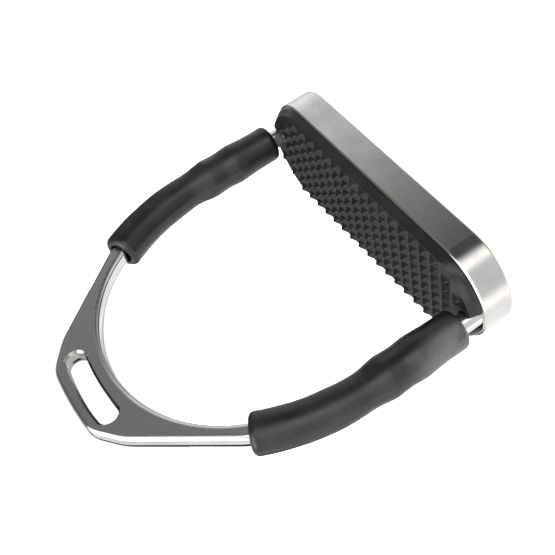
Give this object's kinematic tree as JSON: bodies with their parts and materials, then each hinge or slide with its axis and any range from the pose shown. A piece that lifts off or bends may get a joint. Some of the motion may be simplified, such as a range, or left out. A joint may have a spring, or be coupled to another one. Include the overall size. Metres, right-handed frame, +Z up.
{
  "type": "stirrup iron",
  "caption": "Flexible riding stirrup: slotted steel bow, jointed branches in rubber sleeves, and a sprung oblong tread with a gripping rubber pad.",
  "frame": {"origin": "middle of the tread frame's underside", "axes": "+Z up from the tread to the leather slot, X along the tread from branch to branch, Y fore and aft"},
  "size_m": [0.145, 0.0462, 0.1547],
  "materials": {
    "yoke_steel": "satin polished stainless steel, brighter on the rolled edges",
    "frame_steel": "satin stainless steel, brushed along its length",
    "plate_steel": "plain stainless steel",
    "shank_steel": "polished stainless steel",
    "joint_steel": "plain machined stainless steel",
    "pad_rubber": "black moulded rubber, satin on the sides",
    "sleeve_rubber": "black rubber, dull satin with faint dust"
  },
  "bodies": {
    "bow": {"yoke": "yoke_steel", "upper_pin_right": "joint_steel", "upper_pin_left": "joint_steel"},
    "side_links": {"link_right": "joint_steel", "link_left": "joint_steel", "sleeve_right": "sleeve_rubber", "sleeve_left": "sleeve_rubber"},
    "tread": {"tread_frame": "frame_steel", "tread_plate": "plate_steel", "tread_pad": "pad_rubber", "shank_right": "shank_steel", "shank_left": "shank_steel", "lower_pin_right": "joint_steel", "lower_pin_left": "joint_steel"}
  },
  "joints": [
    {"name": "lower_flex", "type": "hinge", "parent": "tread", "child": "side_links", "pos_m": [0, 0, 0.0415], "axis": [1, 0, 0], "range_deg": [-20, 20], "stiffness_Nm_per_rad": 3, "deforming": ["sleeve_right", "sleeve_left"]},
    {"name": "upper_flex", "type": "hinge", "parent": "side_links", "child": "bow", "pos_m": [0, 0, 0.0545], "axis": [1, 0, 0], "range_deg": [-20, 20], "stiffness_Nm_per_rad": 3, "deforming": ["sleeve_right", "sleeve_left"]}
  ]
}
